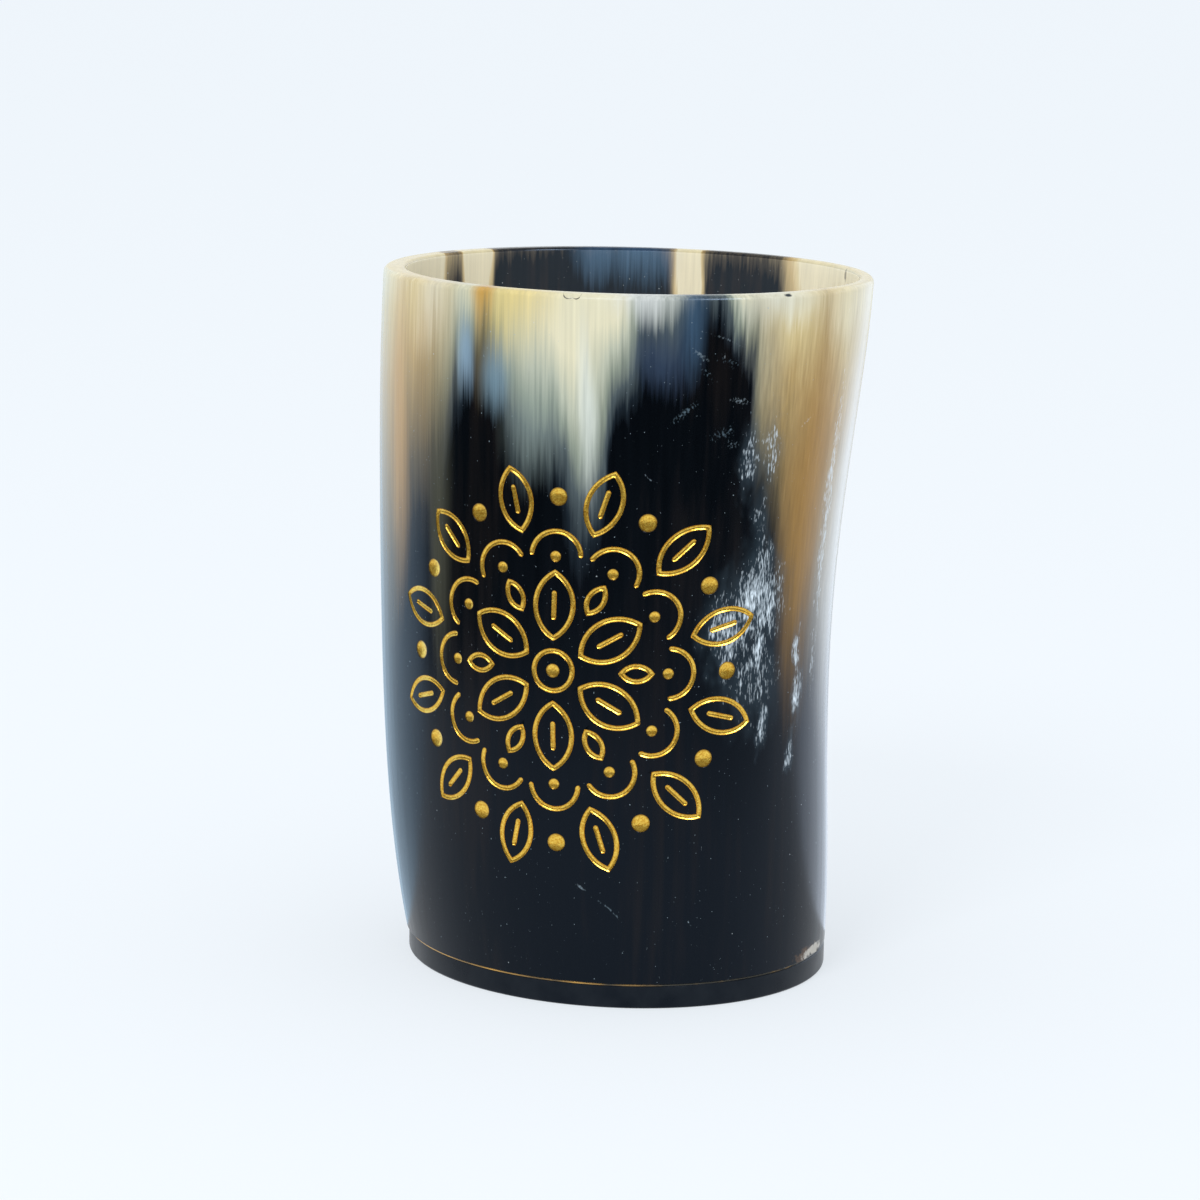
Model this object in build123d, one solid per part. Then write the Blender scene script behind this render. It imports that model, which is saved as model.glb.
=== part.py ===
from build123d import *
import os
from math import cos, pi, radians, sin, sqrt

# Horn drinking cup: a length of cattle horn, closed below by a glued horn base, with an
# engraved medallion on its front whose lines are filled with gold.
# +Z is up and the front of the cup faces -Y. The origin is the middle of the underside.
# All sizes are in millimetres and all angles in degrees.

# Heights
CUP_HEIGHT = 100.0
BASE_THICKNESS = 3.3
SPIGOT_HEIGHT = 2.9
GLUE_FILM = 0.3

# Reach of the horn's outer face to the left and to the right of the axis, going up
FOOT_LEFT, FOOT_RIGHT = 30.9, 30.3
BELLY_LEFT, BELLY_RIGHT = 33.5, 30.25
WAIST_LEFT, WAIST_RIGHT = 34.7, 30.05
SHOULDER_LEFT, SHOULDER_RIGHT = 35.1, 32.45
RIM_LEFT, RIM_RIGHT = 34.6, 34.95

# How far up the horn each of those five stations lies, as a share of the horn's length
STATIONS = (0.0, 0.2, 0.45, 0.75, 1.0)

# Every level section is an oval: long axis over short axis, and the way the long axis points
OVAL_RATIO = 1.095
OVAL_TURN = -45.0
OVAL_POINTS = 16

# Wall thickness of the horn and the rounding of its rim
FOOT_WALL = 4.0
RIM_WALL_LEFT = 3.15
RIM_WALL_RIGHT = 2.0
RIM_ROUND_OUTER = 0.9
RIM_ROUND_INNER = 0.6

# The base: how far its edge lies inside the horn's foot, and its seat in the horn
BASE_SET_IN_LEFT = 0.4
BASE_SET_IN_RIGHT = 0.05
BASE_EDGE_ROUND = 0.4
SEAT_WALL = 3.4
SEAT_GLUE_GAP = 0.2
SEAM_SET_BACK = 0.15

# Engraving: line width, groove depth, and how far the gold lies below the horn's surface
LINE_WIDTH = 0.75
GROOVE_DEPTH = 0.4
GOLD_SINK = 0.12
CUTTER_REACH = 1.5

# Medallion: its centre, as an angle from the front and a drop below the horn's middle
MEDALLION_AZIMUTH = -13.0
MEDALLION_DROP = 3.8
MOTIF_GAP = 1.0
EYE_RADIUS, EYE_DOT_RADIUS = 2.8, 1.0
PETAL_COUNT = 6
PETAL_LENGTH, PETAL_WIDTH, PETAL_VEIN = 10.0, 6.2, 4.8
SEED_LENGTH, SEED_WIDTH = 5.0, 2.9
ARCH_COUNT = 12
ARCH_DOT_RADIUS = 0.8
LEAF_LENGTH, LEAF_WIDTH, LEAF_VEIN = 9.6, 5.4, 4.8
PEARL_RADIUS = 1.3

# Worked out from the sizes above
foot_height = BASE_THICKNESS + GLUE_FILM
floor_height = BASE_THICKNESS + SPIGOT_HEIGHT
horn_length = CUP_HEIGHT - foot_height
medallion_share = 0.5 - MEDALLION_DROP / horn_length
left_reaches = (FOOT_LEFT, BELLY_LEFT, WAIST_LEFT, SHOULDER_LEFT, RIM_LEFT)
right_reaches = (FOOT_RIGHT, BELLY_RIGHT, WAIST_RIGHT, SHOULDER_RIGHT, RIM_RIGHT)


def reach(share, reaches):
    """Smooth curve through the five stations, read at a share of the horn's length."""
    total = 0.0
    for station, value in zip(STATIONS, reaches):
        for other in STATIONS:
            if other != station:
                value *= (share - other) / (station - other)
        total += value
    return total


def horn_reach(share):
    """Reach of the horn's outer face to the left and to the right."""
    return reach(share, left_reaches), reach(share, right_reaches)


def bore_reach(share):
    """Reach of the horn's inner face: the wall thins from the foot to the rim."""
    left, right = horn_reach(share)
    wall_left = FOOT_WALL + (RIM_WALL_LEFT - FOOT_WALL) * share
    wall_right = FOOT_WALL + (RIM_WALL_RIGHT - FOOT_WALL) * share
    return left - wall_left, right - wall_right


def oval_axes(left, right):
    """Half of the long and of the short axis of the oval that reaches left and right."""
    turn = radians(OVAL_TURN)
    short = (left + right) / 2 / sqrt((OVAL_RATIO * cos(turn)) ** 2 + sin(turn) ** 2)
    return short * OVAL_RATIO, short


def oval(left, right, height):
    """Level oval face at a height."""
    long_axis, short_axis = oval_axes(left, right)
    place = Pos((right - left) / 2, 0, height) * Rot(0, 0, OVAL_TURN)
    return place * Ellipse(long_axis, short_axis)


def spline_oval(left, right, height):
    """The same oval with one smooth spline for its edge, to loft through."""
    long_axis, short_axis = oval_axes(left, right)
    place = Pos((right - left) / 2, 0, height) * Rot(0, 0, OVAL_TURN)
    angles = [2 * pi * number / OVAL_POINTS for number in range(OVAL_POINTS)]
    points = [(long_axis * cos(angle), short_axis * sin(angle)) for angle in angles]
    return place * make_face(Spline(points, periodic=True))


def oval_plate(left, right, bottom, top):
    """Upright oval solid between two heights."""
    return extrude(oval(left, right, bottom), top - bottom)


def horn_form(reach_at):
    """Solid inside the horn's outer or inner face."""
    sections = []
    for share in STATIONS:
        left, right = reach_at(share)
        sections.append(spline_oval(left, right, foot_height + share * horn_length))
    return loft(sections)


def horn_blank():
    """The horn before engraving: hollow, with a rounded rim and a seat for the base."""
    wall = horn_form(horn_reach) - horn_form(bore_reach)
    wall -= oval_plate(FOOT_LEFT - SEAT_WALL, FOOT_RIGHT - SEAT_WALL, foot_height, floor_height)
    thinnest = min(RIM_WALL_LEFT, RIM_WALL_RIGHT)
    outer_edge = wall.edges().group_by(Axis.Z)[-1].sort_by(SortBy.LENGTH)[-1]
    wall = fillet(outer_edge, min(RIM_ROUND_OUTER, 0.5 * thinnest))
    inner_edge = wall.edges().group_by(Axis.Z)[-1].sort_by(SortBy.LENGTH)[0]
    return fillet(inner_edge, min(RIM_ROUND_INNER, 0.35 * thinnest))


def spigot():
    """The raised middle of the base, smaller than its seat by the glue gap."""
    inset = SEAT_WALL + SEAT_GLUE_GAP
    return oval_plate(FOOT_LEFT - inset, FOOT_RIGHT - inset, BASE_THICKNESS, floor_height)


def horn_base():
    """Oval base plate with the spigot that stands up inside the horn."""
    left, right = FOOT_LEFT - BASE_SET_IN_LEFT, FOOT_RIGHT - BASE_SET_IN_RIGHT
    plate = oval_plate(left, right, 0, BASE_THICKNESS)
    plate = fillet(plate.edges().group_by(Axis.Z)[0], BASE_EDGE_ROUND)
    return plate + spigot()


def base_glue():
    """Glue between base and horn: a film in the seam and a sleeve round the spigot."""
    film_left = FOOT_LEFT - BASE_SET_IN_LEFT - SEAM_SET_BACK
    film_right = FOOT_RIGHT - BASE_SET_IN_RIGHT - SEAM_SET_BACK
    film = oval_plate(film_left, film_right, BASE_THICKNESS, foot_height)
    seat_left, seat_right = FOOT_LEFT - SEAT_WALL, FOOT_RIGHT - SEAT_WALL
    sleeve = oval_plate(seat_left, seat_right, BASE_THICKNESS, floor_height)
    return film + sleeve - spigot()


def medallion_radius():
    """Radius of the horn's outer face at the height of the medallion."""
    return sum(horn_reach(medallion_share)) / 2


def surface_point(across, up):
    """Point on the horn's outer face, measured along the face from the medallion's centre."""
    share = medallion_share + up / horn_length
    left, right = horn_reach(share)
    long_axis, short_axis = oval_axes(left, right)
    bearing = radians(MEDALLION_AZIMUTH - 90) + across / medallion_radius()
    off_axis = bearing - radians(OVAL_TURN)
    span = sqrt((short_axis * cos(off_axis)) ** 2 + (long_axis * sin(off_axis)) ** 2)
    radius = long_axis * short_axis / span
    x = (right - left) / 2 + radius * cos(bearing)
    return Vector(x, radius * sin(bearing), foot_height + share * horn_length)


def surface_plane(across, up):
    """Plane that touches the horn there, with its X along the face and its Z outwards."""
    step = 0.1
    along = surface_point(across + step, up) - surface_point(across - step, up)
    rising = surface_point(across, up + step) - surface_point(across, up - step)
    return Plane(surface_point(across, up), x_dir=along, z_dir=along.cross(rising))


def leaf_outline(length, width):
    """Pointed leaf along X, drawn as a line round its edge."""
    tip, side = length / 2, width / 2
    upper = ThreePointArc((-tip, 0), (0, side), (tip, 0))
    lower = ThreePointArc((tip, 0), (0, -side), (-tip, 0))
    leaf = make_face([upper, lower])
    return leaf - offset(leaf, -LINE_WIDTH)


def vein(length):
    """Straight line along X with round ends."""
    return SlotOverall(length, LINE_WIDTH)


def ring(radius):
    """Round line about the motif's centre."""
    return Circle(radius + LINE_WIDTH / 2) - Circle(radius - LINE_WIDTH / 2)


def arch(radius):
    """Half of a round line, open towards -X."""
    width = 2 * (radius + LINE_WIDTH)
    return ring(radius) & Pos(width / 2, 0) * Rectangle(width, width)


def engrave(motif, count=1, distance=0.0, first=0.0):
    """Grooves and gold of a motif repeated round the medallion, each one pointing outwards.

    The bed of each groove is round like the horn, so the gold is equally thick all along.
    """
    radius = medallion_radius()
    grooves, gold = [], []
    for number in range(count):
        angle = first + number * 360 / count
        place = surface_plane(distance * cos(radians(angle)), distance * sin(radians(angle)))
        horn_axis = place * Pos(0, 0, -radius) * Rot(90, 0, 0)
        face = place * Rot(0, 0, angle) * motif
        cutter = extrude(face, GROOVE_DEPTH + CUTTER_REACH, both=True)
        groove = cutter - horn_axis * Cylinder(radius - GROOVE_DEPTH, horn_length)
        grooves.append(groove)
        gold += (groove & horn_axis * Cylinder(radius - GOLD_SINK, horn_length)).solids()
    return grooves, gold


def medallion():
    """Grooves and gold of the medallion, from the eye outwards, by the gold's node name."""
    half_petal, half_arch = 180 / PETAL_COUNT, 180 / ARCH_COUNT
    petal_start = EYE_RADIUS + LINE_WIDTH / 2 + MOTIF_GAP
    petal_middle = petal_start + PETAL_LENGTH / 2
    petal_end = petal_start + PETAL_LENGTH
    seed_middle = petal_end - SEED_LENGTH / 2
    arch_start = petal_end + MOTIF_GAP + ARCH_DOT_RADIUS
    arch_radius = arch_start * sin(radians(half_arch)) - (LINE_WIDTH + MOTIF_GAP / 2) / 2
    leaf_middle = arch_start + arch_radius + LEAF_LENGTH / 2
    petal, seed = leaf_outline(PETAL_LENGTH, PETAL_WIDTH), leaf_outline(SEED_LENGTH, SEED_WIDTH)
    leaf = leaf_outline(LEAF_LENGTH, LEAF_WIDTH)
    return {
        "gold_eye": engrave(ring(EYE_RADIUS) + Circle(EYE_DOT_RADIUS)),
        "gold_petals": engrave(petal, PETAL_COUNT, petal_middle, half_petal),
        "gold_petal_veins": engrave(vein(PETAL_VEIN), PETAL_COUNT, petal_middle, half_petal),
        "gold_seeds": engrave(seed, PETAL_COUNT, seed_middle),
        "gold_arches": engrave(arch(arch_radius), ARCH_COUNT, arch_start),
        "gold_arch_dots": engrave(Circle(ARCH_DOT_RADIUS), ARCH_COUNT, arch_start),
        "gold_leaves": engrave(leaf, ARCH_COUNT, leaf_middle, half_arch),
        "gold_leaf_veins": engrave(vein(LEAF_VEIN), ARCH_COUNT, leaf_middle, half_arch),
        "gold_pearls": engrave(Circle(PEARL_RADIUS), ARCH_COUNT, leaf_middle),
    }


def engraved_cup():
    """Every piece of the cup, by node name."""
    pieces = {"horn_base": horn_base(), "base_glue": base_glue()}
    all_grooves = []
    for name, (grooves, gold) in medallion().items():
        all_grooves += grooves
        pieces[name] = Compound(children=gold)
    pieces["horn_wall"] = horn_blank() - all_grooves
    return pieces


os.makedirs("parts", exist_ok=True)
for name, piece in engraved_cup().items():
    export_step(piece, f"parts/{name}.step")
    print(name, len(piece.solids()), "solids,", round(piece.volume, 2), "mm3")
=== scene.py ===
# %% [markdown]
# # A horn drinking cup
# The cup is a length of cattle horn, sawn off at both ends, hollowed and polished. A plug of
# horn is glued in below as a base, and lines engraved on the front are filled with gold.
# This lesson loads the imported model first, because every piece has to sit where it says.

from math import acos, cos, hypot, pi, radians, sin, sqrt

import bmesh
import bpy
from mathutils import Matrix, Vector


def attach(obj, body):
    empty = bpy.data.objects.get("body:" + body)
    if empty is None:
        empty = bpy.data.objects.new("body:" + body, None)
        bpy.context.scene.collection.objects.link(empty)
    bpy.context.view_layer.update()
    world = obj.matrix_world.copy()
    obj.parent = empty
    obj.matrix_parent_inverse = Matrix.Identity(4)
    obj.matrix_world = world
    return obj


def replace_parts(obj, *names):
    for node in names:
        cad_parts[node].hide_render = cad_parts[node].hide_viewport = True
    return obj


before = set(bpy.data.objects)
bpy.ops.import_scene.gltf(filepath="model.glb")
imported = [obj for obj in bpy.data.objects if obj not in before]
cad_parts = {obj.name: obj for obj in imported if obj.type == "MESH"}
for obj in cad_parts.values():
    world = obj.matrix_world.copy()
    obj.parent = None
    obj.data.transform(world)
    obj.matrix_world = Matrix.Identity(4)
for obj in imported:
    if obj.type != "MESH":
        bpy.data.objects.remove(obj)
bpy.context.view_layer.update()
print("nodes:", sorted(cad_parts))

# %% [markdown]
# ## Five small helpers
# Colours are picked as sRGB hex values, as an image editor shows them, but shaders calculate
# with linear light, so one function converts them. A second one adds a node to any node tree,
# sets its properties and fills its sockets, with values or with links from earlier nodes. A third
# one puts an object into the scene. The fourth lets a Geometry Nodes tree grow a shape from a seed
# mesh and keeps the result as a plain mesh. The last one starts a material with an empty tree.

# %% Colour, node and growing helpers
MM = 0.001
SHARP_EDGE = radians(40)
# Kinds of node that come up again and again
MATH, MAP_RANGE, VECTOR_MATH = "ShaderNodeMath", "ShaderNodeMapRange", "ShaderNodeVectorMath"
COMBINE_XYZ, SEPARATE_XYZ = "ShaderNodeCombineXYZ", "ShaderNodeSeparateXYZ"


def linear(hex_colour):
    channels = [int(hex_colour[i:i + 2], 16) / 255 for i in (1, 3, 5)]
    return tuple(c / 12.92 if c <= 0.04045 else ((c + 0.055) / 1.055) ** 2.4 for c in channels) + (1.0,)


def add(tree, kind, inputs=None, **settings):
    node = tree.nodes.new(kind)
    for name, value in settings.items():
        setattr(node, name, value)
    for socket, value in (inputs or {}).items():
        if isinstance(value, bpy.types.Node):
            value = value.outputs[0]
        if isinstance(value, bpy.types.NodeSocket):
            tree.links.new(value, node.inputs[socket])
        else:
            node.inputs[socket].default_value = value
    return node


def put(name, data):
    """Object at the origin of the scene."""
    made = bpy.data.objects.new(name, data)
    bpy.context.scene.collection.objects.link(made)
    return made


def grow(name, seed, tree, values):
    """Object at the origin with the plain mesh that a tree grows from a seed mesh."""
    piece = put(name, seed)
    modifier = piece.modifiers.new(tree.name, "NODES")
    modifier.node_group = tree
    for item in tree.interface.items_tree:
        if item.in_out == "INPUT" and item.name in values:
            modifier[item.identifier] = values[item.name]
    mesh = bpy.data.meshes.new_from_object(piece.evaluated_get(bpy.context.evaluated_depsgraph_get()))
    piece.modifiers.remove(modifier)
    piece.data = mesh
    bpy.data.meshes.remove(seed)
    mesh.name = name
    bm = bmesh.new()
    bm.from_mesh(mesh)
    bmesh.ops.recalc_face_normals(bm, faces=bm.faces)
    bm.to_mesh(mesh)
    bm.free()
    mesh.set_sharp_from_angle(angle=SHARP_EDGE)
    print(name, len(mesh.polygons), "faces")
    return piece


def material(name):
    made = bpy.data.materials.new(name)
    made.use_nodes = True
    made.node_tree.nodes.clear()
    return made


print("linear mid grey:", round(linear("#808080")[0], 3))

# %% [markdown]
# ## The horn's form
# A horn isn't a lathe shape: it is oval, it leans to the left at half height and flares to the
# right at the rim. Five stations up the cup give how far the outer face reaches to each side,
# and one smooth curve runs through them. The bore follows the outer face, less the wall.

# %% Sizes of the cup in millimetres
FOOT_HEIGHT, FLOOR_HEIGHT, RIM_HEIGHT, BASE_THICKNESS = 3.6, 6.2, 100.0, 3.3
STATIONS = (0.0, 0.2, 0.45, 0.75, 1.0)
LEFT_REACHES = (30.9, 33.5, 34.7, 35.1, 34.6)
RIGHT_REACHES = (30.3, 30.25, 30.05, 32.45, 34.95)
OVAL_RATIO, OVAL_TURN = 1.095, radians(-45)
FOOT_WALL, RIM_WALL_LEFT, RIM_WALL_RIGHT = 4.0, 3.15, 2.0
RIM_ROUND_OUTER, RIM_ROUND_INNER = 0.9, 0.6
SEAT_WALL, GLUE_GAP = 3.4, 0.2


def reach(height, reaches):
    share = (height - FOOT_HEIGHT) / (RIM_HEIGHT - FOOT_HEIGHT)
    total = 0.0
    for station, value in zip(STATIONS, reaches):
        for other in STATIONS:
            if other != station:
                value *= (share - other) / (station - other)
        total += value
    return total


def outer_reach(height):
    return reach(height, LEFT_REACHES), reach(height, RIGHT_REACHES)


def bore_reach(height):
    share = (height - FOOT_HEIGHT) / (RIM_HEIGHT - FOOT_HEIGHT)
    left, right = outer_reach(height)
    return (left - FOOT_WALL - (RIM_WALL_LEFT - FOOT_WALL) * share,
            right - FOOT_WALL - (RIM_WALL_RIGHT - FOOT_WALL) * share)


print("rim width:", round(sum(outer_reach(RIM_HEIGHT)), 2), "mm")

# %% [markdown]
# ## One node tree for every oval skin
# The wall, the base and the glue are all skins of level ovals, so one Geometry Nodes tree makes
# them. It could be a loft of curves, but a grid is simpler: each column of the grid is one step
# round the cup, and each row is one oval. A seed mesh holds a point for each oval, whose X, Y and Z
# are the reach to the left, the reach to the right and the height. The tree looks that point up,
# lays the row out as a turned oval, and merges the points that meet.

# %% Start the tree of oval skins


def geometry_tree(name, inputs, output):
    """Geometry Nodes tree with named inputs and one output, and no nodes yet."""
    tree = bpy.data.node_groups.new(name, "GeometryNodeTree")
    for label, kind in inputs:
        tree.interface.new_socket(label, in_out="INPUT", socket_type="NodeSocket" + kind)
    tree.interface.new_socket(output, in_out="OUTPUT", socket_type="NodeSocketGeometry")
    return tree


oval_skin = geometry_tree("Oval skin", (
    ("Ovals", "Geometry"), ("Steps round", "Int"), ("Oval ratio", "Float"), ("Oval turn", "Float"),
    ("Finish", "Material")), "Skin")
print("sockets:", [item.name for item in oval_skin.interface.items_tree])

# %% Look up each point's oval and its angle
given = add(oval_skin, "NodeGroupInput").outputs
row_count = add(oval_skin, "GeometryNodeAttributeDomainSize", {"Geometry": given["Ovals"]},
                component="MESH").outputs["Point Count"]
columns = add(oval_skin, MATH, {0: given["Steps round"], 1: 1.0}, operation="ADD")
grid = add(oval_skin, "GeometryNodeMeshGrid", {"Vertices X": columns, "Vertices Y": row_count})
index = add(oval_skin, "GeometryNodeInputIndex")
row = add(oval_skin, MATH, {0: index, 1: row_count}, operation="MODULO")
column = add(oval_skin, MATH, {0: index, 1: row_count}, operation="DIVIDE")
column = add(oval_skin, MATH, {0: column}, operation="FLOOR")
share = add(oval_skin, MATH, {0: column, 1: given["Steps round"]}, operation="DIVIDE")
share = add(oval_skin, MATH, {0: share}, operation="FRACT")
angle = add(oval_skin, MATH, {0: share, 1: 2 * pi}, operation="MULTIPLY")
seed_point = add(oval_skin, "GeometryNodeInputPosition")
oval = add(oval_skin, "GeometryNodeSampleIndex", {
    "Geometry": given["Ovals"], "Value": seed_point, "Index": row}, data_type="FLOAT_VECTOR")
reaches = add(oval_skin, SEPARATE_XYZ, {0: oval}).outputs
print("oval skin:", len(oval_skin.nodes), "nodes so far")

# %% Lay the points out and close the skin


def dress(tree, shape, finish, output):
    """Last nodes of a tree: smooth shading, real instances and one material."""
    smooth = add(tree, "GeometryNodeSetShadeSmooth", {"Geometry": shape})
    real = add(tree, "GeometryNodeRealizeInstances", {"Geometry": smooth})
    dressed = add(tree, "GeometryNodeSetMaterial", {"Geometry": real, "Material": finish})
    add(tree, "NodeGroupOutput", {output: dressed})
    print(tree.name, "tree:", len(tree.nodes), "nodes")


# Points nearer than this in metres are one
MEETING_POINTS = 1e-7
width = add(oval_skin, MATH, {0: reaches["X"], 1: reaches["Y"]}, operation="ADD")
lean = add(oval_skin, MATH, {0: reaches["Y"], 1: reaches["X"]}, operation="SUBTRACT")
lean = add(oval_skin, MATH, {0: lean, 1: 0.5}, operation="MULTIPLY")
turn_cos = add(oval_skin, MATH, {0: given["Oval turn"]}, operation="COSINE")
turn_cos = add(oval_skin, MATH, {0: turn_cos, 1: given["Oval ratio"]}, operation="MULTIPLY")
turn_sin = add(oval_skin, MATH, {0: given["Oval turn"]}, operation="SINE")
unit_reach = add(oval_skin, COMBINE_XYZ, {"X": turn_cos, "Y": turn_sin})
unit_reach = add(oval_skin, VECTOR_MATH, {0: unit_reach}, operation="LENGTH")
short = add(oval_skin, MATH, {0: width, 1: unit_reach.outputs["Value"]}, operation="DIVIDE")
short = add(oval_skin, MATH, {0: short, 1: 0.5}, operation="MULTIPLY")
long = add(oval_skin, MATH, {0: short, 1: given["Oval ratio"]}, operation="MULTIPLY")
x = add(oval_skin, MATH, {0: angle}, operation="COSINE")
x = add(oval_skin, MATH, {0: x, 1: long}, operation="MULTIPLY")
y = add(oval_skin, MATH, {0: angle}, operation="SINE")
y = add(oval_skin, MATH, {0: y, 1: short}, operation="MULTIPLY")
flat = add(oval_skin, COMBINE_XYZ, {"X": x, "Y": y})
turned = add(oval_skin, "ShaderNodeVectorRotate", {"Vector": flat, "Angle": given["Oval turn"]},
             rotation_type="Z_AXIS")
middle = add(oval_skin, COMBINE_XYZ, {"X": lean, "Z": reaches["Z"]})
place = add(oval_skin, VECTOR_MATH, {0: turned, 1: middle}, operation="ADD")
laid = add(oval_skin, "GeometryNodeSetPosition", {"Geometry": grid, "Position": place})
closed = add(oval_skin, "GeometryNodeMergeByDistance", {"Geometry": laid, "Distance": MEETING_POINTS})
dress(oval_skin, closed, given["Finish"], "Skin")

# %% Ovals as seed meshes
STEPS_ROUND_CUP = 240


def oval_at(reaches, height, inset=0.0):
    """One oval in millimetres: its reach to the left, its reach to the right and its height."""
    return Vector((reaches[0] - inset, reaches[1] - inset, height))


def skin(name, ovals, finish, unit=MM, steps=STEPS_ROUND_CUP, ratio=OVAL_RATIO, turn=OVAL_TURN):
    seed = bpy.data.meshes.new(name)
    seed.from_pydata([oval * unit for oval in ovals], [], [])
    values = {"Steps round": steps, "Oval ratio": ratio, "Oval turn": turn, "Finish": finish}
    return grow(name, seed, oval_skin, values)


print("rim oval:", [round(size, 2) for size in oval_at(outer_reach(RIM_HEIGHT), RIM_HEIGHT)])

# %% [markdown]
# ## The engraved medallion
# The front carries a rosette of lines cut with a small round burr. Each line is a stroke drawn flat,
# in millimetres across and up from the medallion's centre, and then wrapped round the horn point by
# point. Every point keeps the way out of the horn and how full the line is there: a burr leaves round
# ends, and at the corners of a leaf a fuller section keeps the line's width. A dot is a single point.

# %% Wrap a flat drawing round the horn
MEDALLION_AZIMUTH, MEDALLION_HEIGHT = radians(-13), 48.0
LINE_WIDTH, LINE_DEPTH = 0.75, 0.38
MEDALLION_RADIUS = sum(outer_reach(MEDALLION_HEIGHT)) / 2


def oval_point(height, bearing):
    """Point of the horn's outer face, by its bearing from +X round the oval's middle."""
    left, right = outer_reach(height)
    short = (left + right) / 2 / hypot(OVAL_RATIO * cos(OVAL_TURN), sin(OVAL_TURN))
    long = short * OVAL_RATIO
    off = bearing - OVAL_TURN
    radius = long * short / hypot(short * cos(off), long * sin(off))
    return Vector(((right - left) / 2 + radius * cos(bearing), radius * sin(bearing), height))


def on_horn(across, up):
    return oval_point(MEDALLION_HEIGHT + up, MEDALLION_AZIMUTH - pi / 2 + across / MEDALLION_RADIUS)


def out_of_horn(across, up, step=0.05):
    along = on_horn(across + step, up) - on_horn(across - step, up)
    rising = on_horn(across, up + step) - on_horn(across, up - step)
    return along.cross(rising).normalized()


def spread(motif, count=1, distance=0.0, first=0.0):
    """Copies of a flat motif round the medallion: lists of points, or single dots."""
    copies = []
    for i in range(count):
        turn = Matrix.Rotation(radians(first) + 2 * pi * i / count, 2)
        for stroke in motif:
            copies.append([turn @ (Vector(point) + Vector((distance, 0))) for point in stroke])
    return copies


print("medallion radius of curvature:", round(MEDALLION_RADIUS, 2), "mm")

# %% Motifs of the medallion
# Distance between a stroke's points: on loops, and on lines whose round ends need more of them
LOOP_STEP, END_STEP = 0.3, 0.14


def arc(radius, start, end, step, middle=(0.0, 0.0)):
    count = round(abs(end - start) * radius / step)
    angles = [start + (end - start) * i / count for i in range(count + 1)]
    return [(middle[0] + radius * cos(a), middle[1] + radius * sin(a)) for a in angles]


def leaf(length, width):
    """Closed outline of two arcs that meet at the tips, half a line inside the leaf's edge."""
    tip, side = length / 2, width / 2
    radius = (tip * tip + side * side) / (2 * side)
    line_radius = radius - LINE_WIDTH / 2
    half_arc = acos((radius - side) / line_radius)
    upper = arc(line_radius, pi / 2 + half_arc, pi / 2 - half_arc, LOOP_STEP, (0, side - radius))
    return [upper + [(x, -y) for x, y in reversed(upper[:-1])]]


def vein(length):
    half = (length - LINE_WIDTH) / 2
    count = round(2 * half / END_STEP)
    return [[(-half + 2 * half * i / count, 0.0) for i in range(count + 1)]]


EYE_RADIUS, MOTIF_GAP, VEIN_LENGTH, PETAL_COUNT, LEAF_COUNT = 2.8, 1.0, 4.8, 6, 12
PETAL_LENGTH, PETAL_WIDTH, SEED_LENGTH, SEED_WIDTH, LEAF_LENGTH, LEAF_WIDTH = 10.0, 6.2, 5.0, 2.9, 9.6, 5.4
EYE_DOT, ARCH_DOT, PEARL = 1.0, 0.8, 1.3
petal_turn, leaf_turn = 180 / PETAL_COUNT, 180 / LEAF_COUNT
petal_start = EYE_RADIUS + LINE_WIDTH / 2 + MOTIF_GAP
petal_middle, petal_end = petal_start + PETAL_LENGTH / 2, petal_start + PETAL_LENGTH
arch_start = petal_end + MOTIF_GAP + ARCH_DOT
arch_radius = arch_start * sin(radians(leaf_turn)) - (LINE_WIDTH + MOTIF_GAP / 2) / 2
leaf_middle = arch_start + arch_radius + LEAF_LENGTH / 2
lines = {
    "gold_eye": spread([arc(EYE_RADIUS, 0, 2 * pi, LOOP_STEP)]),
    "gold_petals": spread(leaf(PETAL_LENGTH, PETAL_WIDTH), PETAL_COUNT, petal_middle, petal_turn),
    "gold_petal_veins": spread(vein(VEIN_LENGTH), PETAL_COUNT, petal_middle, petal_turn),
    "gold_seeds": spread(leaf(SEED_LENGTH, SEED_WIDTH), PETAL_COUNT, petal_end - SEED_LENGTH / 2),
    "gold_arches": spread([arc(arch_radius, -pi / 2, pi / 2, END_STEP)], LEAF_COUNT, arch_start),
    "gold_leaves": spread(leaf(LEAF_LENGTH, LEAF_WIDTH), LEAF_COUNT, leaf_middle, leaf_turn),
    "gold_leaf_veins": spread(vein(VEIN_LENGTH), LEAF_COUNT, leaf_middle, leaf_turn),
}
dots = {
    "gold_eye": (EYE_DOT, spread([[(0, 0)]])),
    "gold_arch_dots": (ARCH_DOT, spread([[(0, 0)]], LEAF_COUNT, arch_start)),
    "gold_pearls": (PEARL, spread([[(0, 0)]], LEAF_COUNT, leaf_middle)),
}
print("medallion width:", round(2 * leaf_middle + LEAF_LENGTH, 1), "mm")

# %% Strokes as a mesh of points and edges
LEAST_FULLNESS, SAME_POINT = 0.3, 1e-6


def fullness_at(stroke, i, closed):
    """Share of the full section: more at a loop's corners, and less at a line's round ends."""
    if closed:
        before, after = stroke[i] - stroke[i - 1], stroke[(i + 1) % len(stroke)] - stroke[i]
        return 1 / cos(before.angle(after) / 2)
    to_end = min((stroke[i] - stroke[0]).length, (stroke[i] - stroke[-1]).length)
    short_of_full = max(0.0, 1 - to_end / (LINE_WIDTH / 2))
    return max(LEAST_FULLNESS, sqrt(1 - short_of_full ** 2))


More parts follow.
